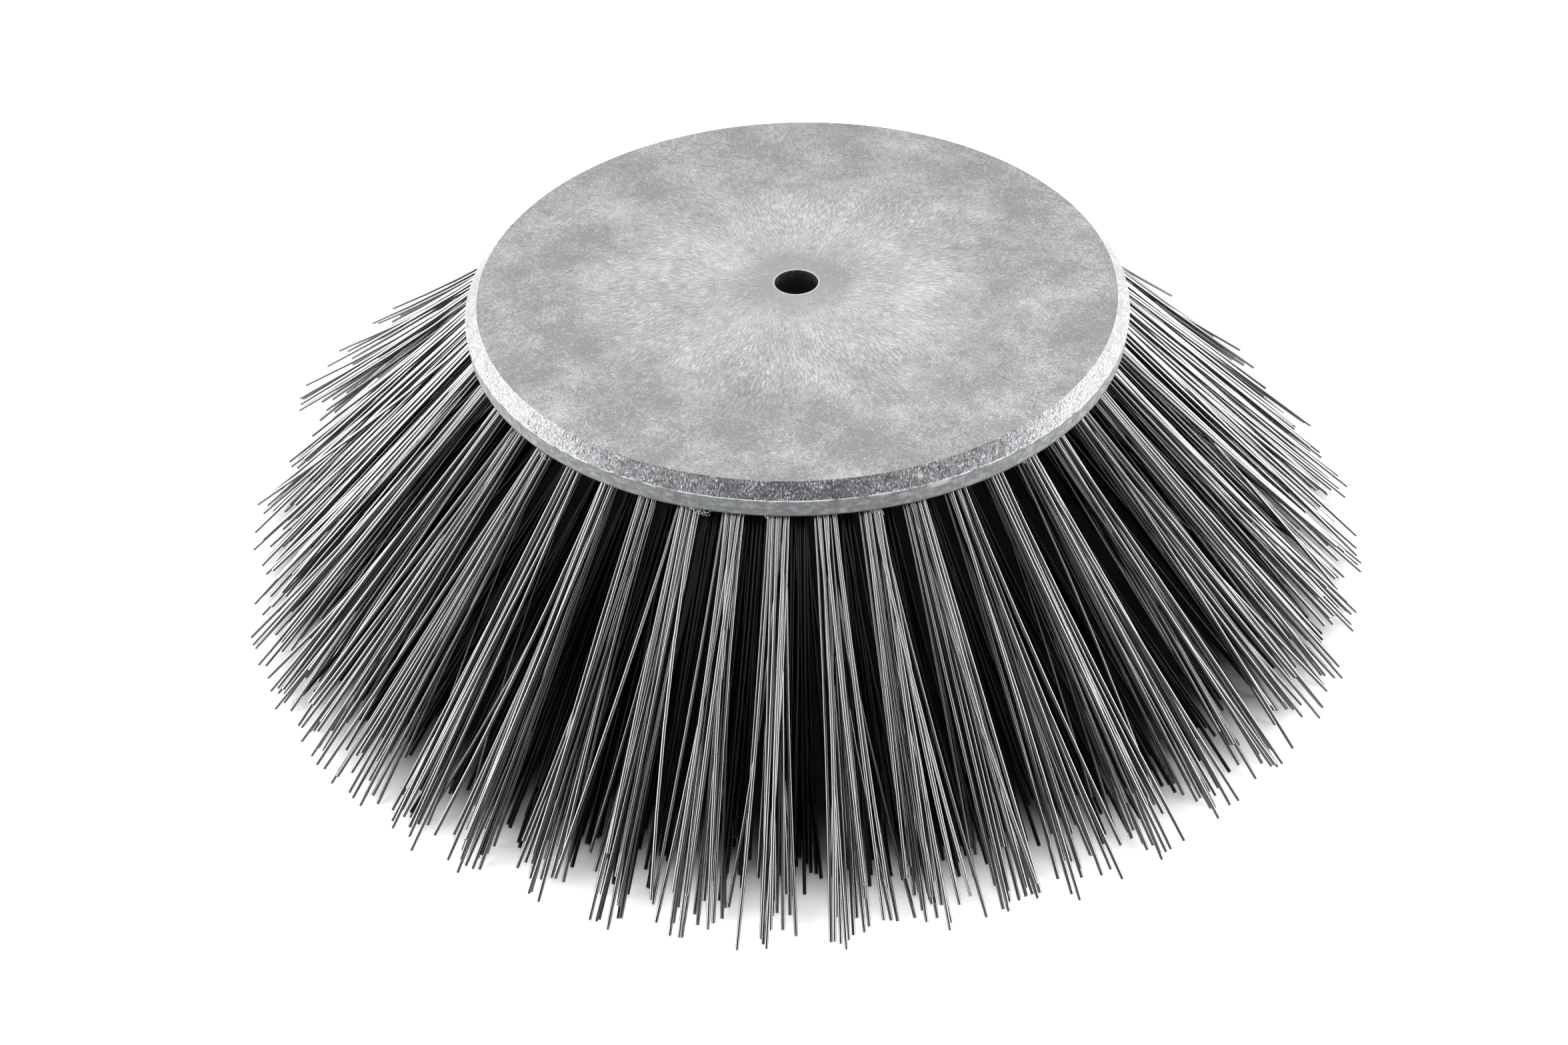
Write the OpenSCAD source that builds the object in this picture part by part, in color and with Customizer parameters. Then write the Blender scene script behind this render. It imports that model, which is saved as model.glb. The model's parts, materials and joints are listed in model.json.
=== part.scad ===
// Side brush of a road sweeper. A moulded disc bolts to the sweeper's spindle through
// one centre bore. Two rows of stiff monofilament tufts flare out from blind holes in
// its underside, each folded round a flat wire anchor at the bottom of its hole.
// The brush stands on its bristle tips: z = 0 is the floor, +Z is the spindle axis and
// -Y is the front.

/* [Plate] */
// Diameter of the plate
plate_d = 300; // [290:1:360]
// Thickness of the plate
plate_t = 14; // [13:0.5:20]
// Width and height of the bevel round the top face
bevel_w = 5.7; // [2:0.1:8]
// How much smaller the radius is at the lower edge than under the bevel
rim_draft = 0.5; // [0:0.1:2]
// Diameter of the bore for the spindle
bore_d = 20; // [12:0.5:60]
// Solid skin left between a tuft hole and the top face
skin_t = 2.2; // [1.5:0.1:3]

/* [Tufts] */
// Height of the top face above the floor
brush_h = 142.4; // [110:0.1:180]
// Lean of every tuft away from the vertical, in degrees
flare = 44.3; // [35:0.1:48]
// Diameter of a tuft hole
hole_d = 9; // [7:0.1:10]
// Diameter of one filament
filament_d = 1.6; // [1.3:0.1:2]
// Space between neighbouring filaments where they leave the bundle
filament_gap = 0.15; // [0.15:0.01:0.25]
// Width of a tuft at the floor, measured along its row
tip_w = 26; // [15:0.5:27]
// Depth of a tuft at the floor, measured across its axis
tip_depth = 13; // [10:0.5:16]
// How far above the floor the shortest filaments end
ragged_h = 8; // [0:0.5:15]

/* [Outer row] */
// Number of outer tufts
outer_count = 48; // [24:4:48]
// From the circle that the outer tufts start from, on the underside, to the plate's edge
edge_margin = 13; // [11:0.5:20]

/* [Inner row] */
// Number of inner tufts
inner_count = 45; // [24:1:45]
// From the outer circle in to the circle that the inner tufts start from
row_gap = 28.5; // [26:0.5:34]
// Angle of the first inner tuft
inner_start = 5.1; // [0:0.1:8]

/* [Anchors] */
// Thickness of the flat anchor wire
anchor_t = 0.5; // [0.3:0.05:0.8]
// Width of the flat anchor wire
anchor_w = 3; // [2:0.1:3.5]
// How far an anchor bites into the wall at each side of its hole
anchor_bite = 0.7; // [0.4:0.1:1.2]
// Thickness of the folded filaments between an anchor and the bottom of its hole
fold_t = 1.8; // [1.5:0.1:2.2]

/* [Witness marks] */
// Diameter of a swelling in the top face over the end of a tuft hole
swell_d = 7; // [4:0.5:9]
// Height of a swelling
swell_h = 0.4; // [0.2:0.1:0.8]

/* [Fits] */
// Clearance round a bundle in its hole
bundle_fit = 0.1; // [0.05:0.01:0.15]
// Clearance round an anchor in its groove
anchor_fit = 0.1; // [0.05:0.01:0.15]

/* [Hidden] */
$fn = 96;
eps = 1;

// Angles at which the end of a tuft hole has raised a swelling in the top face
outer_swellings = [41, 99, 159, 228, 243, 331, 345];
inner_swellings = [40, 56, 80, 96, 112, 128, 152, 232];

outer_pcd = plate_d - 2 * edge_margin;
inner_pcd = outer_pcd - 2 * row_gap;
under_z = brush_h - plate_t;
outer_pitch = 360 / outer_count;
inner_pitch = 360 / inner_count;
outer_start = outer_pitch / 2;
hole_r = hole_d / 2;

// Along a tuft's axis, 0 is where it crosses the underside and + is towards the tips.
hole_end = -(plate_t - skin_t - hole_r * sin(flare)) / cos(flare);
mouth_in = -hole_r * tan(flare);
bundle_top = hole_end + bundle_fit;
bundle_foot = mouth_in - bundle_fit;
anchor_top = hole_end + fold_t;
anchor_l = hole_d + 2 * anchor_bite;
axis_l = under_z / cos(flare);

// Filaments are packed in hexagonal rings round the tuft's axis.
filament_pitch = filament_d + filament_gap;
rings = floor((hole_r - bundle_fit - filament_d / 2) / filament_pitch);
packing = [
    [0, 0],
    for (ring = [1:rings], side = [0:5], step = [0:ring - 1])
        ring * filament_pitch * corner(side) * (1 - step / ring)
            + ring * filament_pitch * corner(side + 1) * (step / ring)
];
fan_along = (tip_w - filament_d) / (2 * rings * filament_pitch);
fan_across = (tip_depth - filament_d) / (2 * rings * filament_pitch * sin(60));

outer_names = [for (i = [1:outer_count]) str("outer_tuft_", i < 10 ? "0" : "", i)];
inner_groups = 9;
inner_names = [for (g = [1:inner_groups]) str("inner_tufts_", g)];

function corner(side) = [cos(60 * side), sin(60 * side)];

function outer_angle(i) = outer_start + outer_pitch * i;

function inner_angle(i) = inner_start + inner_pitch * i;

// The end of a filament's axis at the floor, in the tuft's frame: along the row, across
// the tuft and along its axis
function fanned(p) = [p[0] * fan_along, p[1] * fan_across, axis_l];

// Height lost for each unit along the tuft's axis and gained for each unit across it
function drop(v) = v[2] * cos(flare) - v[1] * sin(flare);

// Puts children, drawn round a tuft's own axis, at its hole. The tuft's Z runs to the
// tips, its X along the row and its Y outwards across the tuft.
module at_tuft(pcd, angle)
{
    rotate([0, 0, angle])
        translate([pcd / 2, 0, under_z])
            rotate([0, 180 - flare, 0])
                rotate([0, 0, 90])
                    children();
}

module each_outer()
{
    for (i = [0:outer_count - 1])
        at_tuft(outer_pcd, outer_angle(i))
            children();
}

module each_inner()
{
    for (i = [0:inner_count - 1])
        at_tuft(inner_pcd, inner_angle(i))
            children();
}

// A blind hole with the groove that its anchor cuts on the way in
module tuft_hole()
{
    groove_w = anchor_t + 2 * anchor_fit;
    groove_l = anchor_l + 2 * anchor_fit;
    groove_top = anchor_top - anchor_fit;
    out = -mouth_in + eps;
    translate([0, 0, hole_end])
        cylinder(h = out - hole_end, r = hole_r);
    translate([-groove_l / 2, -groove_w / 2, groove_top])
        cube([groove_l, groove_w, out - groove_top]);
}

// A low dome over the highest corner of a tuft hole's end
module swelling(pcd, angle)
{
    reach = pcd / 2 + hole_end * sin(flare) + hole_r * cos(flare);
    ball_r = (pow(swell_d / 2, 2) + pow(swell_h, 2)) / (2 * swell_h);
    rotate([0, 0, angle])
        translate([reach, 0, brush_h])
            intersection() {
                translate([0, 0, swell_h - ball_r])
                    sphere(r = ball_r);
                translate([0, 0, -swell_h])
                    cylinder(h = 3 * swell_h, d = swell_d);
            }
}

module disc()
{
    top_r = plate_d / 2 - bevel_w;
    rotate_extrude($fn = 180)
        polygon([
            [bore_d / 2, under_z],
            [plate_d / 2 - rim_draft, under_z],
            [plate_d / 2, brush_h - bevel_w],
            [top_r, brush_h],
            [bore_d / 2, brush_h],
        ]);
}

module plate()
{
    color("dimgray")
        difference() {
            union() {
                disc();
                for (angle = outer_swellings)
                    swelling(outer_pcd, angle);
                for (angle = inner_swellings)
                    swelling(inner_pcd, angle);
            }
            each_outer()
                tuft_hole();
            each_inner()
                tuft_hole();
        }
}

// One filament from inside the bundle to its flat end. Its lowest point is lift above
// the floor.
module filament(p, lift)
{
    from = [p[0], p[1], bundle_foot - eps];
    run = fanned(p) - [p[0], p[1], 0];
    way = run / norm(run);
    tilt = acos(way[2]);
    // The flat end reaches below its centre by the sine of the filament's own lean.
    end_drop = filament_d / 2 * sqrt(1 - pow(drop(way), 2));
    length = (under_z - drop(from) - lift - end_drop) / drop(way);
    translate(from)
        rotate([0, tilt, atan2(way[1], way[0])])
            cylinder(h = length, d = filament_d, $fn = 16);
}

// The folded bundle in the hole, with a window for the anchor, and its filaments. Those
// in the middle and on the outward side always reach the floor.
module tuft(seed)
{
    lifts = rands(0, ragged_h, len(packing), seed);
    outward = (rings - 0.5) * filament_pitch * sin(60);
    difference() {
        translate([0, 0, bundle_top])
            cylinder(h = bundle_foot - bundle_top, r = hole_r - bundle_fit);
        translate([-hole_r, -anchor_t / 2 - anchor_fit, anchor_top - anchor_fit])
            cube([hole_d, anchor_t + 2 * anchor_fit, anchor_w + 2 * anchor_fit]);
    }
    for (i = [0:len(packing) - 1])
        filament(packing[i], i == 0 || packing[i][1] > outward ? 0 : lifts[i]);
}

// The trim of the outer row repeats in each quarter of the turn.
module outer_tuft(i)
{
    color([0.08, 0.08, 0.09])
        at_tuft(outer_pcd, outer_angle(i))
            tuft(i % (outer_count / 4));
}

// Neighbouring tufts of the inner row, as many as fall to one group
module inner_tufts(group)
{
    color([0.08, 0.08, 0.09])
        for (i = [0:inner_count - 1])
            if (floor(i * inner_groups / inner_count) == group)
                at_tuft(inner_pcd, inner_angle(i))
                    tuft(outer_count + i);
}

module anchor()
{
    translate([-anchor_l / 2, -anchor_t / 2, anchor_top])
        cube([anchor_l, anchor_t, anchor_w]);
}

module anchors()
{
    color("silver") {
        each_outer()
            anchor();
        each_inner()
            anchor();
    }
}

plate();
anchors();
for (i = [0:outer_count - 1])
    outer_tuft(i);
for (g = [0:inner_groups - 1])
    inner_tufts(g);
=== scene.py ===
"""Side brush of a road sweeper: bristles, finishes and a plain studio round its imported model.

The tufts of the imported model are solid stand-ins. Here each one becomes a bundle of single
filaments that cross, bow and end raggedly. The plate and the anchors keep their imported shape
and get their finish.
"""

import json
import math
import random

import bmesh
import bpy
from bpy.props import (
    FloatProperty, FloatVectorProperty, IntProperty, PointerProperty, StringProperty)
from mathutils import Matrix, Vector


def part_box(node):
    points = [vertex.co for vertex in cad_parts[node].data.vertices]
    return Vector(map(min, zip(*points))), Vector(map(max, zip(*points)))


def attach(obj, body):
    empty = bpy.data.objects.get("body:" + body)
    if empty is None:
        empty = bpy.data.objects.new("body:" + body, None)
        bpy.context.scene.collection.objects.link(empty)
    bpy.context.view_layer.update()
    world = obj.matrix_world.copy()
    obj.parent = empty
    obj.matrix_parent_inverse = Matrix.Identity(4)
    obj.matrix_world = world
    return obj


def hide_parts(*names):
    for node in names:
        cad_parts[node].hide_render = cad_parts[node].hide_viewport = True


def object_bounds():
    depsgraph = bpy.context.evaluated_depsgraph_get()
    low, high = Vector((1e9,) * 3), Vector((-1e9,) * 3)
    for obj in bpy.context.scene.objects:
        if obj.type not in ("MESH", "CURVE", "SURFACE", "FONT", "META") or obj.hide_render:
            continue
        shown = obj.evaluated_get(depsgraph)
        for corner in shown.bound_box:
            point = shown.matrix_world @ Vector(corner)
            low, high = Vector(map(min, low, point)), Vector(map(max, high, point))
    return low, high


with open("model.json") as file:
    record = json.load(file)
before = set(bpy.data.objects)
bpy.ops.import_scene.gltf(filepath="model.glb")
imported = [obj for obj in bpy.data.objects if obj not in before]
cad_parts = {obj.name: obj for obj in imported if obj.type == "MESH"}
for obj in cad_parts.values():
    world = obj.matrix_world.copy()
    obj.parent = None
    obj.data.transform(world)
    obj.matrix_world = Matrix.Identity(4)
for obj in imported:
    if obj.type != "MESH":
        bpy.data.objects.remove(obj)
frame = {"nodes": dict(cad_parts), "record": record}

bl_info = {
    "name": "Sweeper Side Brush",
    "version": (1, 0, 0),
    "blender": (4, 5, 0),
    "location": "View3D > Sidebar > Brush",
    "description": "Builds the bristles, finishes and studio of a road sweeper's side brush",
    "category": "Add Mesh",
}

MM = 0.001
BODY = "root"
CAD_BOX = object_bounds()
PLATE_LOW, PLATE_HIGH = (Vector(corner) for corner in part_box("plate"))
BORE = next(m for m in frame["record"]["mounts"] if m["name"] == "spindle_bore")
DRIVE_FACE = next(m for m in frame["record"]["mounts"] if m["name"] == "drive_face")
TOP_Z = DRIVE_FACE["pos_m"][2]
UNDER_Z = PLATE_LOW.z
PLATE_R = PLATE_HIGH.x
BORE_R = BORE["dims"]["r_mm"] * MM
# The open end of a band: farther away than any part of the brush
FAR = 1.0

# Where the bevel has its one knock
KNOCK_AT = math.radians(-70)
# Shavings on the rim's lower edge: angle of the cluster in degrees, number of curls, length in mm
FRONT_SWARF = ((-107.5, 5, 9), (-137, 3, 5), (-79, 2, 4), (-96, 1, 3), (-52, 2, 4))
BACK_CLUSTERS = 3

# Outer tufts, counted from 0, that use has bent outwards
BENT_TUFTS = (19, 20, 21)
# Seeds of a row's pieces start at so many times the seed
OUTER_SEEDS, INNER_SEEDS = 1000, 2000
# From one filament to the next in a hole, in diameters
SPACING = 1.06
# Rows of the net of filaments on each side of its middle node
NET_ROWS = 6
# The net lies off centre by these shares of its pitch, so no two nodes are equally far out
NET_SHIFT = (0.21, 0.13)
# How far up its hole a filament starts, hidden in the plate
ROOT_DEPTH = 5.5 * MM
# How much farther a wild filament strays than the others
WILD_REACH = 2.5
# How much of the fan along the row a tuft has across it
FAN_ACROSS = 0.7
# The higher, the later the filaments part on their way to the floor
PARTING = 1.5
# The higher, the fewer filaments are trimmed short
TRIM_BIAS = 2.4
# Longest and shortest filament, in lengths of the tuft's axis, and the step that trims one
LONGEST, SHORTEST, TRIM_STEP = 1.08, 0.5, 0.004
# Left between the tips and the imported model's reach
TIP_MARGIN = 0.6 * MM

# Radii on the floor between which the painted shadow under the brush fades out, the near glow
# starts and the far glow starts
PAINTED_SHADOW_ENDS = (0.19, 0.258)
NEAR_GLOW = (0.215, 0.27)
FAR_GLOW = (0.6, 2.0)
# Scales of the floor's place that stretch the painted shadow sideways into an oval
PAINTED_SHADOW_OVAL = (0.91, 1, 1)
FLOOR_SIZE = 9
CEILING_SIZE, CEILING_Z = 6, 1.7
SENSOR_MM = 36

# What most of the lamps face
HEART = (0, 0, 0.07)
# Softboxes: name, setting, place, the point faced, width and height. The first three stand at
# both sides, and the right one's place is given.
SIDE_LAMPS = (
    ("side_", "side_light", (1.3, -0.1, 0.27), (0, -0.1, 0.27), 1.9, 0.5),
    ("front_", "front_light", (1.15, -0.7, 0.75), HEART, 0.9, 0.9),
    ("rear_", "rear_light", (1.15, 0.8, 0.75), HEART, 0.9, 0.9),
)
MIDDLE_LAMPS = (
    ("glint", "glint_light", (0, -1.1, 1.3), HEART, 0.3, 0.25),
    ("softbox_top", "top_light", (0, 0.3, 1.55), HEART, 1.6, 1.2),
)


def nodes_named(start):
    """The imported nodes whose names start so, in order."""
    return sorted(name for name in frame["nodes"] if name.startswith(start))


OUTER_NODES = nodes_named("outer_tuft_")
INNER_NODES = nodes_named("inner_tufts_")


class BristleSettings(bpy.types.PropertyGroup):
    """Sizes and habits of the filaments."""

    filament_d: FloatProperty(
        name="Filament diameter", description="Diameter of one filament",
        default=1.6 * MM, unit="LENGTH")
    per_tuft: IntProperty(
        name="Filaments", description="Filament ends in one tuft", default=21, min=7, max=40)
    flare: FloatProperty(
        name="Flare", description="Lean of a tuft away from the vertical",
        default=math.radians(44.3), subtype="ANGLE")
    outer_circle: FloatProperty(
        name="Outer circle", description="Diameter of the circle that the outer tufts start from",
        default=274 * MM, unit="LENGTH")
    inner_circle: FloatProperty(
        name="Inner circle", description="Diameter of the circle that the inner tufts start from",
        default=217 * MM, unit="LENGTH")
    inner_count: IntProperty(
        name="Inner tufts", description="Tufts in the inner row", default=45, min=9)
    inner_start: FloatProperty(
        name="Inner start", description="Angle of the first inner tuft",
        default=math.radians(5.1), subtype="ANGLE")
    fan: FloatProperty(
        name="Fan", description="How much farther apart the filaments stand at the floor",
        default=1.5)
    stray_along: FloatProperty(
        name="Stray along the row", description="How far a tip usually strays along its row",
        default=5 * MM, unit="LENGTH")
    stray_across: FloatProperty(
        name="Stray across", description="How far a tip usually strays across its tuft",
        default=3.2 * MM, unit="LENGTH")
    wild: FloatProperty(
        name="Wild filaments", description="Share of the filaments that stray much farther",
        default=0.15, subtype="FACTOR")
    bow: FloatProperty(
        name="Bow", description="How far the middle of a filament usually bows out",
        default=0.7 * MM, unit="LENGTH")
    splay: FloatProperty(
        name="Splay", description="How far the tips of a bent tuft are pushed outwards",
        default=20 * MM, unit="LENGTH")
    ragged: FloatProperty(
        name="Ragged trim", description="How much shorter the shortest filaments are",
        default=26 * MM, unit="LENGTH")
    seed: IntProperty(name="Seed", description="Seed of everything that is random", default=4)
    dark: StringProperty(
        name="Dark colour", description="sRGB hex colour of the blackest filaments",
        default="020203")
    light: StringProperty(
        name="Light colour", description="sRGB hex colour of the dustiest filaments",
        default="090909")


class PlateSettings(bpy.types.PropertyGroup):
    """Colours and pattern sizes of the moulded plate."""

    bevel: FloatProperty(
        name="Bevel", description="Width of the bevel round the top face",
        default=5.7 * MM, unit="LENGTH")
    stroke: FloatProperty(
        name="Flow mark", description="Width of one hairy flow mark",
        default=0.9 * MM, unit="LENGTH")
    mottle: FloatProperty(
        name="Mottle", description="Size of the cloudy patches", default=38 * MM, unit="LENGTH")
    dark: StringProperty(
        name="Dark colour", description="sRGB hex colour of the smooth dark patches",
        default="8A8A8B")
    middle: StringProperty(
        name="Middle colour", description="sRGB hex colour of most of the top face",
        default="AAAAAA")
    light: StringProperty(
        name="Light colour", description="sRGB hex colour of the flow marks", default="D6D6D6")
    bevel_dark: StringProperty(
        name="Bevel dark", description="sRGB hex colour of the bevel's cut", default="0C0D10")
    rim: StringProperty(
        name="Rim colour", description="sRGB hex colour of the turned rim", default="606263")
    swarf_seed: IntProperty(name="Swarf seed", description="Seed of the shavings", default=7)


class StageSettings(bpy.types.PropertyGroup):
    """Camera and light."""

    camera_at: FloatVectorProperty(
        name="Camera place", description="Where the camera stands", size=3,
        default=(0.0, -0.8390, 0.6982), subtype="XYZ")
    camera_turn: FloatVectorProperty(
        name="Camera turn", description="Pitch below the horizon, turn to the right and roll",
        size=3, default=(0.6933, -0.0106, -0.0306), subtype="EULER")
    lens: FloatProperty(
        name="Lens", description="Focal length in millimetres on a 36 mm sensor", default=50.78)
    side_light: FloatProperty(
        name="Side light", description="Radiance of the two long low softboxes at the sides",
        default=13.0)
    front_light: FloatProperty(
        name="Front light", description="Radiance of the two softboxes in front at the sides",
        default=4.0)
    rear_light: FloatProperty(
        name="Rear light", description="Radiance of the two softboxes behind at the sides",
        default=2.2)
    glint_light: FloatProperty(
        name="Glint light", description="Radiance of the small softbox above the camera",
        default=20.0)
    top_light: FloatProperty(
        name="Top light", description="Radiance of the softbox overhead", default=0.75)
    sky: FloatProperty(
        name="Ambient", description="Strength of the white surroundings", default=0.3)
    floor_glow: FloatProperty(
        name="Floor glow", description="Light that the floor adds of its own near the brush",
        default=0.7)


GROUPS = {"bristle": BristleSettings, "plate": PlateSettings, "stage": StageSettings}


def settings(name):
    """The scene's settings group of one name."""
    return getattr(bpy.context.scene, "brush_" + name)


# ---------------------------------------------------------------- shared helpers

# Settings that every node of a kind gets here
USUAL = {"MapRange": {"interpolation_type": "SMOOTHSTEP"}, "Mix": {"data_type": "RGBA"}}


def linear(hex_colour):
    """An sRGB hex colour as linear RGBA."""
    channels = [int(hex_colour[i:i + 2], 16) / 255 for i in (0, 2, 4)]
    return [c / 12.92 if c <= 0.04045 else ((c + 0.055) / 1.055) ** 2.4 for c in channels] + [1.0]


def add(tree, kind, *values, stops=(), **named):
    """Adds a node, with its settings and links, and gives its first output in use.

    kind may carry an operation after a full stop. values go to the inputs in use, in order.
    A named value goes to the input of that name, with _ for each space, where the name
    starts with a capital, and otherwise to the node's own setting. An output is linked, hex
    text becomes a colour, and anything else is set. stops are the (position, hex colour)
    pairs of a ramp.
    """
    kind, _, operation = kind.partition(".")
    node = tree.nodes.new("ShaderNode" + kind)
    choices = dict(USUAL.get(kind, {}), **({"operation": operation} if operation else {}))
    choices.update((key, value) for key, value in named.items() if key[0].islower())
    for key, value in choices.items():
        setattr(node, key, value)
    in_use = [socket for socket in node.inputs if socket.enabled]
    targets = list(zip(in_use, values))
    targets += [(node.inputs[key.replace("_", " ")], value)
                for key, value in named.items() if key[0].isupper()]
    for socket, value in targets:
        if isinstance(value, bpy.types.NodeSocket):
            tree.links.new(value, socket)
        else:
            socket.default_value = linear(value) if isinstance(value, str) else value
    for i, (place, colour) in enumerate(stops):
        element = node.color_ramp.elements[i] if i < 2 else node.color_ramp.elements.new(1.0)
        element.position = place
        element.color = linear(colour)
    return next((socket for socket in node.outputs if socket.enabled), None)


def band(tree, value, low, high, soft):
    """1 where value lies between low and high, with soft edges."""
    up = add(tree, "MapRange", value, low - soft, low + soft)
    down = add(tree, "MapRange", value, high - soft, high + soft)
    return add(tree, "Math.SUBTRACT", up, down)


def new_material(name):
    """A material with an empty tree, and its tree."""
    material = bpy.data.materials.new(name)
    material.use_nodes = True
    material.node_tree.nodes.clear()
    return material, material.node_tree


def close_surface(tree, shader):
    """Links a shader to the material's output."""
    add(tree, "OutputMaterial", Surface=shader)


def deselect():
    """Leaves nothing selected."""
    for each in bpy.context.selected_objects:
        each.select_set(False)


def set_only_material(piece, material):
    """Gives a piece one material."""
    piece.data.materials.clear()
    piece.data.materials.append(material)


# ---------------------------------------------------------------- materials


def around(tree, angle, radius, height, width, tall):
    """A place on a turned face, unrolled: one unit for each width round it and each tall up it."""
    return add(tree, "CombineXYZ", add(tree, "Math.MULTIPLY", angle, radius / width),
               add(tree, "Math.MULTIPLY", height, 1 / tall))


def top_face(tree, look, flat, radius, angle):
    """Colour and relief of the top face.

    The melt freezes as it flows out from the bore. That leaves short pale strokes, which
    run outwards near the middle and curl beyond it, over cloudy patches of darker skin.
    """
    # Strokes of five times their width run outwards, on lines that a slow drift bends. A stroke
    # has its true width at a radius of 70 mm.
    drift = add(tree, "TexNoise", flat, Scale=1 / (55 * MM), Detail=1.0)
    bent = add(tree, "Math.MULTIPLY_ADD", drift, 0.4, angle)
    reach = add(tree, "CombineXYZ", add(tree, "Math.MULTIPLY", bent, 70 * MM / look.stroke),
                add(tree, "Math.MULTIPLY", radius, 1 / (5 * look.stroke)))
    hairs = add(tree, "TexNoise", reach, Scale=1, Detail=4.0, Roughness=0.65)
    hairs = add(tree, "MapRange", hairs, 0.38, 0.68)
    curls = add(tree, "TexNoise", flat, Scale=1 / (2.6 * look.stroke), Detail=5.0, Roughness=0.66,
                Distortion=2.0)
    curls = add(tree, "MapRange", curls, 0.36, 0.68)
    beyond = add(tree, "Math.MULTIPLY_ADD", drift, 60 * MM, radius)
    beyond = add(tree, "MapRange", beyond, 95 * MM, 145 * MM)
    strokes = add(tree, "Math.ADD",
                  add(tree, "Math.MULTIPLY", hairs, add(tree, "Math.SUBTRACT", 1.0, beyond)),
                  add(tree, "Math.MULTIPLY", curls, beyond))
    clouds = add(tree, "TexNoise", flat, Scale=1 / look.mottle, Detail=7.0, Roughness=0.68)
    grain = add(tree, "TexNoise", flat, Scale=1 / (0.9 * MM), Detail=3.0, Roughness=0.7)

    # Paler between the smooth ring round the bore and the edge
    pale = add(tree, "Math.MULTIPLY", add(tree, "MapRange", radius, 15 * MM, 34 * MM),
               add(tree, "MapRange", radius, 60 * MM, 112 * MM, 1.0, 0.0))
    rays = add(tree, "CombineXYZ", add(tree, "Math.MULTIPLY", bent, 9.0),
               add(tree, "Math.MULTIPLY", radius, 1 / (55 * MM)))
    rays = add(tree, "TexNoise", rays, Scale=1, Detail=3.0, Roughness=0.6)
    pale = add(tree, "Math.MULTIPLY", pale, rays)

    # The clouds stand out more towards the edge
    contrast = add(tree, "MapRange", radius, 60 * MM, 110 * MM, 0.7, 1.15)
    tone = add(tree, "Math.MULTIPLY", add(tree, "Math.SUBTRACT", clouds, 0.5), contrast)
    tone = add(tree, "Math.MULTIPLY_ADD", strokes, 0.3, tone)
    tone = add(tree, "Math.MULTIPLY_ADD", grain, 0.7, tone)
    tone = add(tree, "Math.MULTIPLY_ADD", pale, 0.34, tone)
    colour = add(tree, "ValToRGB", add(tree, "Math.SUBTRACT", tone, 0.1),
                 stops=[(0.26, look.dark), (0.5, look.middle), (0.78, look.light)])

    # A smooth ring with a frayed edge round the bore, pale flecks, and the bore's pale lip
    ring = add(tree, "Math.MULTIPLY_ADD", clouds, 12 * MM, radius)
    ring = add(tree, "MapRange", ring, 20 * MM, 30 * MM, 0.5, 0.0)
    colour = add(tree, "Mix", ring, colour, "A0A0A2")
    flecks = add(tree, "TexNoise", flat, Scale=1 / (1.6 * MM), Detail=1.0)
    flecks = add(tree, "MapRange", flecks, 0.70, 0.76)
    colour = add(tree, "Mix", add(tree, "Math.MULTIPLY", flecks, 0.55), colour, "EEEDEB")
    lip = band(tree, radius, BORE_R - 0.2 * MM, BORE_R + 0.7 * MM, 0.3 * MM)
    return add(tree, "Mix", add(tree, "Math.MULTIPLY", lip, 0.5), colour, "D6D6D4"), strokes


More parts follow.
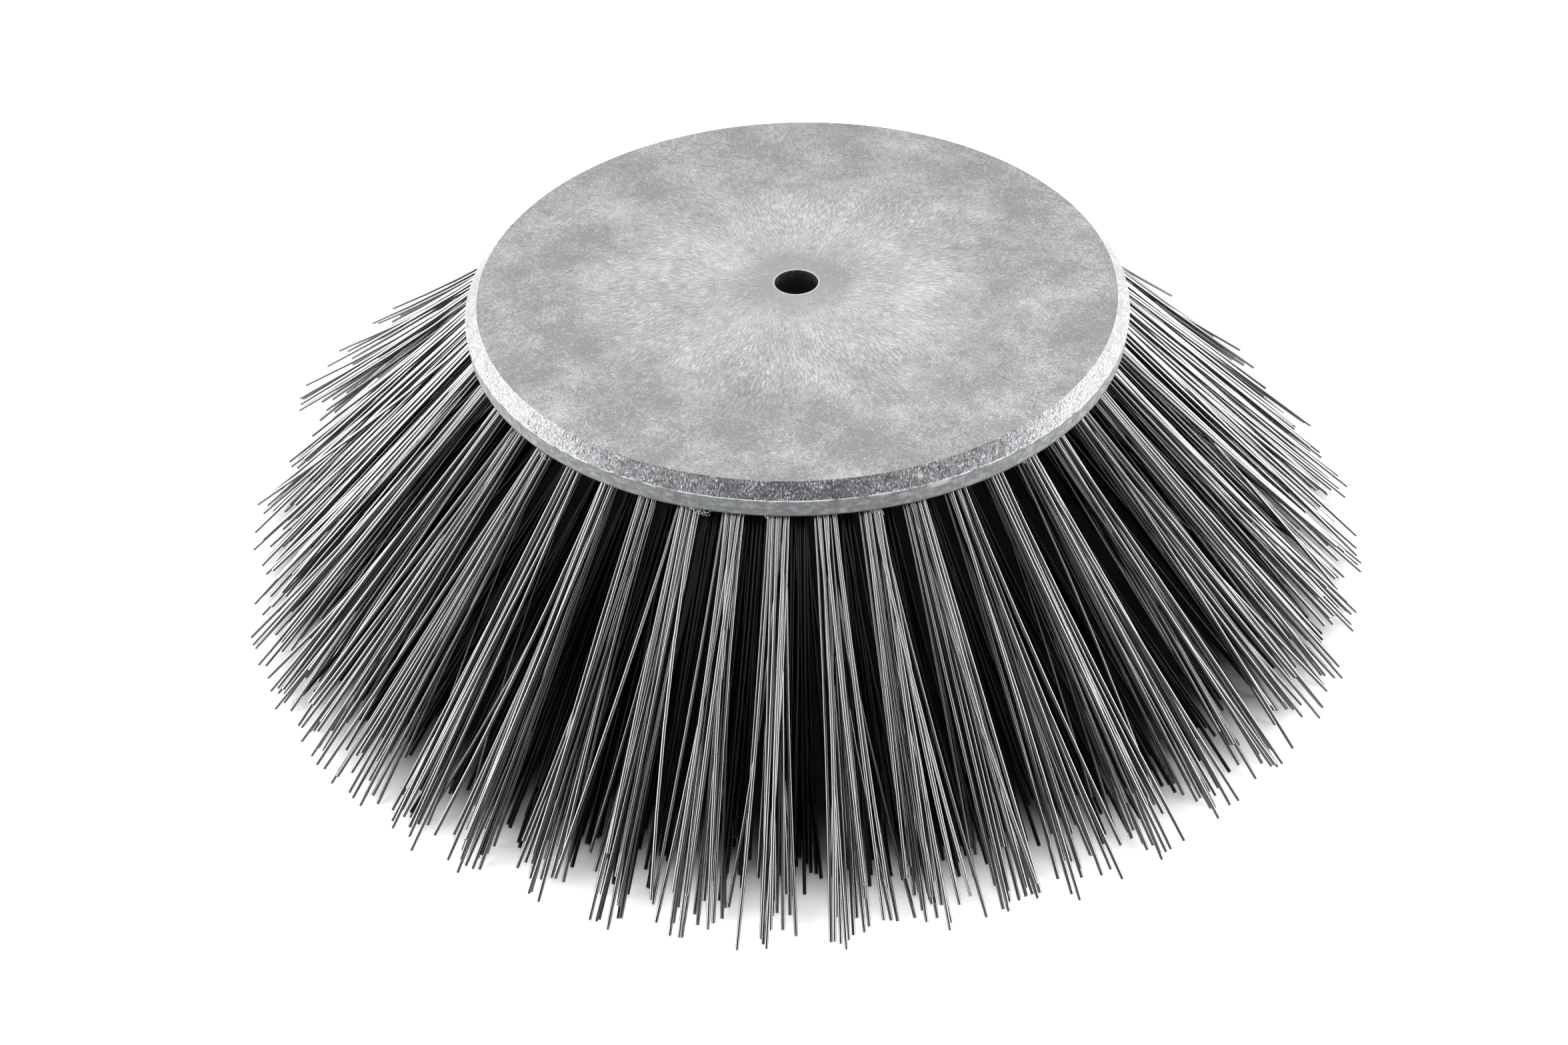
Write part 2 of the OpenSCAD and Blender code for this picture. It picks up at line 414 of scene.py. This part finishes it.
def moulded_polypropylene():
    """Recycled polypropylene, pressed hot into a disc, with a turned bevel and rim.

    The top face is matt and cloudy, with pale flow marks. The tool that turns the bevel
    burnishes the plastic like a coat of varnish and leaves chatter across it, whose pale flecks
    are partly pale tool marks and partly painted sparkle. The bore wall is painted near black as
    shade.
    """
    look = settings("plate")
    material, tree = new_material("moulded_recycled_polypropylene")
    place = add(tree, "TexCoord").node.outputs["Object"]
    x, y, z = add(tree, "SeparateXYZ", place).node.outputs
    flat = add(tree, "CombineXYZ", x, y)
    radius = add(tree, "VectorMath.LENGTH", flat)
    angle = add(tree, "Math.ARCTAN2", y, x)
    colour, strokes = top_face(tree, look, flat, radius, angle)

    # Bevel: dark smooth cut with streaks down its slope, and pale flecks that are partly painted
    # sparkle
    foot = TOP_Z - look.bevel
    on_bevel = add(tree, "Math.MULTIPLY", band(tree, z, foot, FAR, 0.12 * MM),
                   band(tree, radius, PLATE_R - look.bevel, FAR, 0.12 * MM))
    chatter = add(tree, "TexNoise", around(tree, angle, PLATE_R, z, 0.7 * MM, 1.1 * MM),
                  Scale=1, Detail=4.0, Roughness=0.85)
    smear = add(tree, "TexNoise", around(tree, angle, PLATE_R, z, 9 * MM, 5 * MM),
                Scale=1, Detail=3.0, Roughness=0.6)
    # The pale top stop paints sparkle into the colour: partly pale tool marks, partly painted
    # glints
    cut = add(tree, "ValToRGB",
              add(tree, "Math.MULTIPLY_ADD", smear, 0.2, add(tree, "Math.MULTIPLY", chatter, 0.9)),
              stops=[(0.47, look.bevel_dark), (0.58, "2A2D33"), (0.7, "C8CAD0")])
    colour = add(tree, "Mix", on_bevel, colour, cut)

    # Rim: dull and mottled, with a pale line where the bevel meets it
    on_rim = add(tree, "Math.MULTIPLY", band(tree, radius, PLATE_R - 1.5 * MM, FAR, 0.2 * MM),
                 band(tree, z, -FAR, foot, 0.1 * MM))
    blotch = add(tree, "TexNoise", around(tree, angle, PLATE_R, z, 5 * MM, 3 * MM),
                 Scale=1, Detail=4.0, Roughness=0.65)
    turned = add(tree, "ValToRGB", blotch,
                 stops=[(0.3, "4E5051"), (0.5, look.rim), (0.74, "868888")])
    colour = add(tree, "Mix", on_rim, colour, turned)
    edge = add(tree, "Math.MULTIPLY", band(tree, z, foot - 0.5 * MM, foot + 0.3 * MM, 0.25 * MM),
               add(tree, "Math.MULTIPLY", add(tree, "MapRange", blotch, 0.35, 0.6), on_rim))
    colour = add(tree, "Mix", edge, colour, "C6C8C8")
    # A dark line along the rim's lower edge: painted shade under the edge
    foot_shade = band(tree, z, -FAR, UNDER_Z + 0.5 * MM, 0.3 * MM)
    foot_shade = add(tree, "Math.MULTIPLY", foot_shade, on_rim)
    colour = add(tree, "Mix", add(tree, "Math.MULTIPLY", foot_shade, 0.8), colour, "222426")

    # One knock in the bevel, and the smear below it, that left the plastic bare
    wobble = add(tree, "Math.MULTIPLY_ADD", smear, 0.03, angle)
    height = add(tree, "Math.MULTIPLY_ADD", chatter, 1.5 * MM, z)
    knock = add(tree, "Math.MULTIPLY",
                band(tree, wobble, KNOCK_AT - 0.008, KNOCK_AT + 0.008, 0.006),
                band(tree, height, TOP_Z - 2.9 * MM, TOP_Z - 1.5 * MM, 0.6 * MM))
    smudge = add(tree, "Math.MULTIPLY",
                 band(tree, wobble, KNOCK_AT + 0.02, KNOCK_AT + 0.08, 0.012),
                 band(tree, z, foot - 2.6 * MM, foot - 0.2 * MM, 0.5 * MM))
    colour = add(tree, "Mix", knock, colour, "9A9683")
    colour = add(tree, "Mix", add(tree, "Math.MULTIPLY", smudge, 0.6), colour, "A6A79E")

    # Bore: painted shade, near black, with short pale scratches below its upper edge
    in_bore = add(tree, "Math.MULTIPLY", band(tree, radius, -FAR, BORE_R + 0.1 * MM, 0.05 * MM),
                  band(tree, z, -FAR, TOP_Z - 0.25 * MM, 0.1 * MM))
    scratch = add(tree, "TexNoise", around(tree, angle, BORE_R, z, 0.5 * MM, 5 * MM),
                  Scale=1, Detail=2.0)
    scratch = add(tree, "Math.MULTIPLY", add(tree, "MapRange", scratch, 0.6, 0.72),
                  add(tree, "MapRange", z, TOP_Z - 6 * MM, TOP_Z - 2 * MM, 0.0, 0.45))
    colour = add(tree, "Mix", in_bore, colour, add(tree, "Mix", scratch, "0C0C0D", "A0A0A0"))

    # The strokes are a little smoother than the skin, and the bevel is much smoother
    rough = add(tree, "Math.MULTIPLY_ADD", strokes, -0.2, 0.95)
    rough = add(tree, "Math.MULTIPLY_ADD", on_bevel, -0.65, rough)
    relief = add(tree, "Bump", Height=strokes, Strength=0.3, Distance=0.4 * MM)
    carved = add(tree, "Bump", Height=add(tree, "Math.MULTIPLY", chatter, on_bevel), Normal=relief,
                 Strength=0.12, Distance=0.3 * MM)
    shader = add(tree, "BsdfPrincipled", Base_Color=colour, Roughness=rough, IOR=1.49,
                 Coat_Weight=on_bevel, Coat_Roughness=0.2, Coat_IOR=1.5, Coat_Normal=carved,
                 Normal=carved)
    close_surface(tree, shader)
    return material


def drawn_monofilament(name, gloss):
    """Black polypropylene monofilament, drawn from the melt.

    Drawing leaves a smooth glassy skin, so each filament carries long straight reflections.
    Dust greys some of them, and the sheared tips are paler. gloss sets the specular level and the
    coat: the outer row's copy is glossier than the plastic, for brighter highlights, and the inner
    row's duller copy is painted shade, so it stays black between the outer tufts.
    """
    look = settings("bristle")
    material, tree = new_material("drawn_black_polypropylene_" + name)
    uv = add(tree, "UVMap", uv_map="filament")
    which, along, _ = add(tree, "SeparateXYZ", uv).node.outputs
    colour = add(tree, "Mix", which, look.dark, look.light)
    tip = band(tree, along, 0.997, 2.0, 0.002)
    colour = add(tree, "Mix", add(tree, "Math.MULTIPLY", tip, 0.4), colour, "5A5956")
    rough = add(tree, "Math.MULTIPLY_ADD", which, 0.12, 0.18)
    shader = add(tree, "BsdfPrincipled", Base_Color=colour, Roughness=rough, IOR=1.5,
                 Specular_IOR_Level=gloss, Coat_Weight=gloss, Coat_Roughness=0.2, Coat_IOR=1.5)
    close_surface(tree, shader)
    return material


def torn_polypropylene():
    """Shavings of the plate's plastic: thin, torn and whitened by the strain."""
    material, tree = new_material("torn_polypropylene_swarf")
    place = add(tree, "TexCoord").node.outputs["Object"]
    patches = add(tree, "TexNoise", place, Scale=1 / (1.2 * MM))
    colour = add(tree, "ValToRGB", patches, stops=[(0.4, "3C3F41"), (0.6, "B4B7B8")])
    close_surface(tree, add(tree, "BsdfPrincipled", Base_Color=colour, Roughness=0.35, IOR=1.49))
    return material


def galvanised_wire():
    """Flattened steel wire with a thin zinc skin: pale grey and shiny, with a fine spangle."""
    material, tree = new_material("galvanised_flat_steel_wire")
    place = add(tree, "TexCoord").node.outputs["Object"]
    spangle = add(tree, "TexVoronoi", place, Scale=1 / (0.8 * MM))
    colour = add(tree, "ValToRGB", spangle, stops=[(0.0, "9FA3A6"), (1.0, "C9CCCE")])
    rough = add(tree, "Math.MULTIPLY_ADD", spangle, 0.2, 0.32)
    shader = add(tree, "BsdfPrincipled", Base_Color=colour, Roughness=rough, Metallic=1.0)
    close_surface(tree, shader)
    return material


# ---------------------------------------------------------------- filaments


def straight_filament(sides=10, pieces=5):
    """One straight filament of unit radius and length, standing on the origin, as a mesh.

    It starts as a cylinder, and its long edges are cut into equal pieces so that it can bow. It
    has few faces, because it is repeated more than a thousand times.
    """
    deselect()
    bpy.ops.mesh.primitive_cylinder_add(vertices=sides, radius=1, depth=1, location=(0, 0, 0.5))
    piece = bpy.context.active_object
    bpy.ops.object.transform_apply(location=True, rotation=True, scale=True)
    bpy.ops.object.mode_set(mode="EDIT")
    bpy.ops.mesh.select_mode(type="EDGE")
    bpy.ops.mesh.select_all(action="DESELECT")
    shape = bmesh.from_edit_mesh(piece.data)
    for edge in shape.edges:
        low, high = sorted(vert.co.z for vert in edge.verts)
        edge.select_set(high - low > 0.5)
    bmesh.update_edit_mesh(piece.data)
    bpy.ops.mesh.subdivide(number_cuts=pieces - 1)
    bpy.ops.object.mode_set(mode="OBJECT")
    bpy.ops.object.shade_smooth_by_angle(angle=math.radians(60))
    mesh = piece.data.copy()
    bpy.data.objects.remove(piece)
    return mesh


def packing(count, pitch):
    """Places for filaments in one hole: the nodes of a hexagonal net nearest to its middle."""
    net = [Vector((pitch * (i + 0.5 * j), pitch * j * math.sin(math.radians(60))))
           for i in range(-NET_ROWS, NET_ROWS + 1) for j in range(-NET_ROWS, NET_ROWS + 1)]
    shift = Vector((NET_SHIFT[0] * pitch, NET_SHIFT[1] * pitch))
    return sorted((p - shift for p in net), key=lambda p: p.length)[:count]


class Filament:
    """A filament's own way out of its hole: where it starts, how it leans and how it bows."""

    def __init__(self, start, chance, look):
        self.start = start
        stray = WILD_REACH if chance.random() < look.wild else 1.0
        self.lean = Vector((
            start.x * look.fan + chance.gauss(0, look.stray_along * stray),
            start.y * look.fan * FAN_ACROSS + chance.gauss(0, look.stray_across * stray)))
        self.bow = Vector((chance.gauss(0, look.bow), chance.gauss(0, look.bow)))
        self.shade = min(1.0, max(0.0, chance.gauss(0.4, 0.3)))
        self.cut = look.ragged * chance.random() ** TRIM_BIAS

    def across(self, s):
        """Offset along the row and across the tuft at a share s of the way.

        The filaments leave their hole side by side and part further on.
        """
        return self.start + self.lean * s ** PARTING + self.bow * math.sin(math.pi * min(1, s))


def tuft_axes(circle, angle, flare):
    """A tuft's root, its direction, the direction of its row and the one across the tuft."""
    out = Vector((math.cos(angle), math.sin(angle), 0))
    up = Vector((0, 0, 1))
    root = out * (circle / 2) + up * UNDER_Z
    way = out * math.sin(flare) - up * math.cos(flare)
    return root, way, up.cross(out), out * math.cos(flare) + up * math.sin(flare)


def grow_tuft(shape, layer, template, circle, angle, chance, splay):
    """Adds one tuft's filaments to a bmesh, each a bent copy of the straight one.

    splay pushes every second filament's tip outwards. The UV map gives each filament's own
    shade and the share of its length.
    """
    look = settings("bristle")
    radius = look.filament_d / 2
    root, way, row, across = tuft_axes(circle, angle, look.flare)
    full = UNDER_Z / math.cos(look.flare)
    reach = CAD_BOX[1][0] - TIP_MARGIN
    for number, start in enumerate(packing(look.per_tuft, look.filament_d * SPACING)):
        thread = Filament(start, chance, look)
        thread.lean.y += splay * (number % 2)

        def point(s):
            """A point of the filament's axis at a share s of the full length."""
            offset = thread.across(max(0.0, s))
            along = s * (full + ROOT_DEPTH) - ROOT_DEPTH
            return root + way * along + row * offset.x + across * offset.y

        # The floor, the reach of the brush and the ragged trim each end a filament.
        end = LONGEST
        while point(end).z < radius or point(end).xy.length > reach:
            end -= TRIM_STEP
        end = max(SHORTEST, end - thread.cut / full)
        first = len(shape.verts)
        faces = len(shape.faces)
        shape.from_mesh(template)
        shape.verts.ensure_lookup_table()
        shape.faces.ensure_lookup_table()
        share = shape.verts.layers.float["share"]
        for vert in shape.verts[first:]:
            s = vert.co.z * end
            here = point(s)
            ahead = (point(s + 0.01) - point(s - 0.01)).normalized()
            side = row.cross(ahead).normalized()
            other = ahead.cross(side)
            vert.co = here + (other * vert.co.x + side * vert.co.y) * radius
            vert[share] = s / end
        for face in shape.faces[faces:]:
            for loop in face.loops:
                loop[layer].uv = (thread.shade, loop.vert[share])


def grow_piece(name, node, circle, angles, template, material, seed, splay=0.0):
    """One piece of bristles, with a tuft at each angle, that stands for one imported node."""
    chance = random.Random(seed)
    shape = bmesh.new()
    layer = shape.loops.layers.uv.new("filament")
    shape.verts.layers.float.new("share")
    for angle in angles:
        grow_tuft(shape, layer, template, circle, angle, chance, splay)
    mesh = bpy.data.meshes.new(name)
    shape.verts.layers.float.remove(shape.verts.layers.float["share"])
    shape.to_mesh(mesh)
    shape.free()
    piece = bpy.data.objects.new(name, mesh)
    bpy.context.scene.collection.objects.link(piece)
    set_only_material(piece, material)
    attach(piece, BODY)
    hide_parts(node)


class BRUSH_OT_outer_row(bpy.types.Operator):
    """Grows the outer row of tufts"""

    bl_idname = "brush.outer_row"
    bl_label = "Outer row"

    def execute(self, context):
        look = settings("bristle")
        template = straight_filament()
        # A copy glossier than the plastic, for brighter highlights on the outer row
        material = drawn_monofilament("glassy_monofilament", gloss=0.8)
        pitch = 2 * math.pi / len(OUTER_NODES)
        for i, node in enumerate(OUTER_NODES):
            grow_piece(node.replace("tuft", "bristles"), node, look.outer_circle,
                       [pitch * (i + 0.5)], template, material, look.seed * OUTER_SEEDS + i,
                       splay=look.splay if i in BENT_TUFTS else 0.0)
        return {"FINISHED"}


class BRUSH_OT_inner_row(bpy.types.Operator):
    """Grows the inner row of tufts"""

    bl_idname = "brush.inner_row"
    bl_label = "Inner row"

    def execute(self, context):
        look = settings("bristle")
        template = straight_filament()
        # A dulled copy as painted shade, so the inner row stays black between the outer tufts
        material = drawn_monofilament("dull_monofilament", gloss=0.1)
        pitch = 2 * math.pi / look.inner_count
        share = len(INNER_NODES) / look.inner_count
        for group, node in enumerate(INNER_NODES):
            # Each packed group holds as many neighbouring tufts.
            angles = [look.inner_start + pitch * i for i in range(look.inner_count)
                      if int(i * share + 1e-9) == group]
            grow_piece(node.replace("tufts", "bristles"), node, look.inner_circle,
                       angles, template, material, look.seed * INNER_SEEDS + group)
        return {"FINISHED"}


# ---------------------------------------------------------------- plate and anchors


class BRUSH_OT_plate(bpy.types.Operator):
    """Finishes the moulded plate"""

    bl_idname = "brush.plate"
    bl_label = "Plate"

    def execute(self, context):
        set_only_material(frame["nodes"]["plate"], moulded_polypropylene())
        return {"FINISHED"}


def grow_curl(shape, template, angle, length, chance):
    """Adds one curled shaving to a bmesh.

    It starts inside the rim's lower edge, winds along it and gets thinner.
    """
    turns = chance.uniform(1.2, 2.6)
    wide = chance.uniform(0.5, 1.1) * MM
    phase = chance.uniform(0, 2 * math.pi)
    drop = chance.uniform(0.2, 1.6) * MM

    def point(s):
        """A point of the curl's axis at a share s of its length."""
        turn = 2 * math.pi * turns * s + phase
        grown = min(1, 4 * s)
        r = PLATE_R - 0.7 * MM + grown * wide * (0.6 + math.cos(turn))
        z = UNDER_Z + 0.25 * MM - grown * (wide * (1 + math.sin(turn)) + drop * s)
        at = angle + s * length / PLATE_R
        return Vector((r * math.cos(at), r * math.sin(at), z))

    first = len(shape.verts)
    shape.from_mesh(template)
    shape.verts.ensure_lookup_table()
    for vert in shape.verts[first:]:
        s = vert.co.z
        ahead = (point(s + 0.01) - point(s - 0.01)).normalized()
        side = Vector((0, 0, 1)).cross(ahead).normalized()
        radius = (0.16 - 0.1 * s) * MM
        vert.co = point(s) + (ahead.cross(side) * vert.co.x + side * vert.co.y) * radius


class BRUSH_OT_swarf(bpy.types.Operator):
    """Hangs the few shavings that turning has left on the rim's lower edge"""

    bl_idname = "brush.swarf"
    bl_label = "Swarf"

    def execute(self, context):
        look = settings("plate")
        template, material = straight_filament(sides=6, pieces=24), torn_polypropylene()
        chance = random.Random(look.swarf_seed)
        clusters = [*FRONT_SWARF]
        clusters += [(chance.uniform(0, 180), 2, 4) for _ in range(BACK_CLUSTERS)]
        for number, (degrees, curls, length) in enumerate(clusters, 1):
            shape = bmesh.new()
            for _ in range(curls):
                at = math.radians(degrees + chance.uniform(-0.5, 0.8))
                grow_curl(shape, template, at, chance.uniform(0.6, 1.2) * length * MM, chance)
            mesh = bpy.data.meshes.new(f"swarf_{number}")
            shape.to_mesh(mesh)
            shape.free()
            piece = bpy.data.objects.new(mesh.name, mesh)
            context.scene.collection.objects.link(piece)
            set_only_material(piece, material)
            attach(piece, BODY)
        return {"FINISHED"}


class BRUSH_OT_anchors(bpy.types.Operator):
    """Finishes the wire anchors"""

    bl_idname = "brush.anchors"
    bl_label = "Anchors"

    def execute(self, context):
        set_only_material(frame["nodes"]["anchors"], galvanised_wire())
        return {"FINISHED"}


# ---------------------------------------------------------------- stage


def seen_directly(tree):
    """1 for the camera and for mirror-like rays, which see the plain white."""
    path = add(tree, "LightPath").node.outputs
    either = add(tree, "Math.MAXIMUM", path["Is Camera Ray"], path["Is Glossy Ray"])
    return add(tree, "Math.MAXIMUM", either, path["Is Transmission Ray"])


def white_floor(look):
    """A matt white sweep with a dark oval of painted shadow under the brush.

    The painted shadow closes the gaps between the tufts. Beyond it a glow whitens what the
    lamps leave grey, and the floor keeps the shadow of what stands on it. Seen from below, it
    is clear.
    """
    material, tree = new_material("matt_white_sweep")
    place = add(tree, "TexCoord").node.outputs["Object"]
    radius = add(tree, "VectorMath.LENGTH", add(tree, "VectorMath.MULTIPLY", place, PAINTED_SHADOW_OVAL))
    # The dark grey under the brush is painted shadow, which fades to the pale floor towards the
    # tips
    pale = add(tree, "Mix", add(tree, "MapRange", radius, *PAINTED_SHADOW_ENDS), "262625", "E8E8E8")
    glow = add(tree, "MapRange", radius, *NEAR_GLOW, 0.0, look.floor_glow)
    more = add(tree, "MapRange", radius, *FAR_GLOW, 0.0, 1 - look.floor_glow)
    glow = add(tree, "Math.ADD", glow, more)
    paint = add(tree, "BsdfDiffuse", Color=pale)
    light = add(tree, "Emission", Color=[1, 1, 1, 1],
                Strength=add(tree, "Math.MULTIPLY", seen_directly(tree), glow))
    both = add(tree, "AddShader", paint, light)
    under = add(tree, "Math.MULTIPLY", add(tree, "NewGeometry").node.outputs["Backfacing"],
                add(tree, "LightPath").node.outputs["Is Camera Ray"])
    clear = add(tree, "BsdfTransparent")
    close_surface(tree, add(tree, "MixShader", under, both, clear))
    return material


def dim_ceiling():
    """The unlit matt ceiling of the studio, which keeps the gaps between the filaments black."""
    material, tree = new_material("matt_grey_ceiling")
    close_surface(tree, add(tree, "BsdfDiffuse", Color="3A3A3A"))
    return material


def softbox(name, at, towards, width, height, radiance):
    """An area lamp of a given radiance, turned towards a point."""
    lamp = bpy.data.lights.new(name, "AREA")
    lamp.shape = "RECTANGLE"
    lamp.size = width
    lamp.size_y = height
    lamp.energy = radiance * math.pi * width * height
    holder = bpy.data.objects.new(name, lamp)
    holder.location = at
    holder.visible_camera = False
    holder.rotation_euler = (Vector(towards) - Vector(at)).to_track_quat("-Z", "Y").to_euler()
    bpy.context.scene.collection.objects.link(holder)


def place_camera(look):
    """The camera, from its place, pitch, turn and roll."""
    pitch, turn, roll = look.camera_turn
    forward = Vector((
        math.sin(turn) * math.cos(pitch), math.cos(turn) * math.cos(pitch), -math.sin(pitch)))
    right = Vector((math.cos(turn), -math.sin(turn), 0))
    up = right.cross(forward)
    x_axis = right * math.cos(roll) + up * math.sin(roll)
    y_axis = up * math.cos(roll) - right * math.sin(roll)
    lens = bpy.data.cameras.new("camera")
    lens.sensor_width = SENSOR_MM
    lens.lens = look.lens
    holder = bpy.data.objects.new("camera", lens)
    turn_matrix = Matrix((x_axis, y_axis, -forward)).transposed()
    holder.matrix_world = Matrix.Translation(look.camera_at) @ turn_matrix.to_4x4()
    bpy.context.scene.collection.objects.link(holder)
    bpy.context.scene.camera = holder


class BRUSH_OT_stage(bpy.types.Operator):
    """Sets up the floor, the surroundings, the lamps and the camera"""

    bl_idname = "brush.stage"
    bl_label = "Stage"

    def execute(self, context):
        look = settings("stage")
        scene = context.scene
        scene.view_settings.view_transform = "Standard"
        deselect()
        bpy.ops.mesh.primitive_plane_add(size=FLOOR_SIZE, location=(0, 0, 0))
        floor = context.active_object
        floor.name = "floor"
        set_only_material(floor, white_floor(look))

        bpy.ops.mesh.primitive_plane_add(size=CEILING_SIZE, location=(0, 0, CEILING_Z))
        ceiling = context.active_object
        ceiling.name = "ceiling"
        ceiling.visible_camera = False
        set_only_material(ceiling, dim_ceiling())

        world = bpy.data.worlds.new("surroundings")
        scene.world = world
        world.use_nodes = True
        world.node_tree.nodes.clear()
        tree = world.node_tree
        colour = add(tree, "Mix", seen_directly(tree), [look.sky] * 3 + [1], [1, 1, 1, 1])
        add(tree, "OutputWorld", Surface=add(tree, "Background", Color=colour))

        for suffix, side in (("left", -1), ("right", 1)):
            for name, setting, (x, y, z), faced, width, height in SIDE_LAMPS:
                softbox(name + suffix, (side * x, y, z), faced, width, height,
                        getattr(look, setting))
        for name, setting, at, faced, width, height in MIDDLE_LAMPS:
            softbox(name, at, faced, width, height, getattr(look, setting))
        place_camera(look)
        return {"FINISHED"}


class BRUSH_PT_panel(bpy.types.Panel):
    """Lists the steps that build the brush"""

    bl_label = "Side brush"
    bl_space_type = "VIEW_3D"
    bl_region_type = "UI"
    bl_category = "Brush"

    def draw(self, context):
        for step in STEPS:
            self.layout.operator(step.bl_idname)
        for name, group in GROUPS.items():
            box = self.layout.box()
            for key in group.__annotations__:
                box.prop(settings(name), key)


STEPS = (BRUSH_OT_stage, BRUSH_OT_plate, BRUSH_OT_swarf, BRUSH_OT_anchors, BRUSH_OT_outer_row,
         BRUSH_OT_inner_row)
CLASSES = (*GROUPS.values(), *STEPS, BRUSH_PT_panel)


def register():
    """Registers the classes and gives the scene its settings."""
    for each in CLASSES:
        bpy.utils.register_class(each)
    for name, group in GROUPS.items():
        setattr(bpy.types.Scene, "brush_" + name, PointerProperty(type=group))


def unregister():
    """Takes the settings and the classes away again."""
    for name in GROUPS:
        delattr(bpy.types.Scene, "brush_" + name)
    for each in reversed(CLASSES):
        bpy.utils.unregister_class(each)


def main():
    """Builds the stage and the brush."""
    register()
    bpy.ops.brush.stage()
    bpy.ops.brush.plate()
    bpy.ops.brush.swarf()
    bpy.ops.brush.anchors()
    bpy.ops.brush.outer_row()
    bpy.ops.brush.inner_row()


if __name__ == "__main__":
    main()
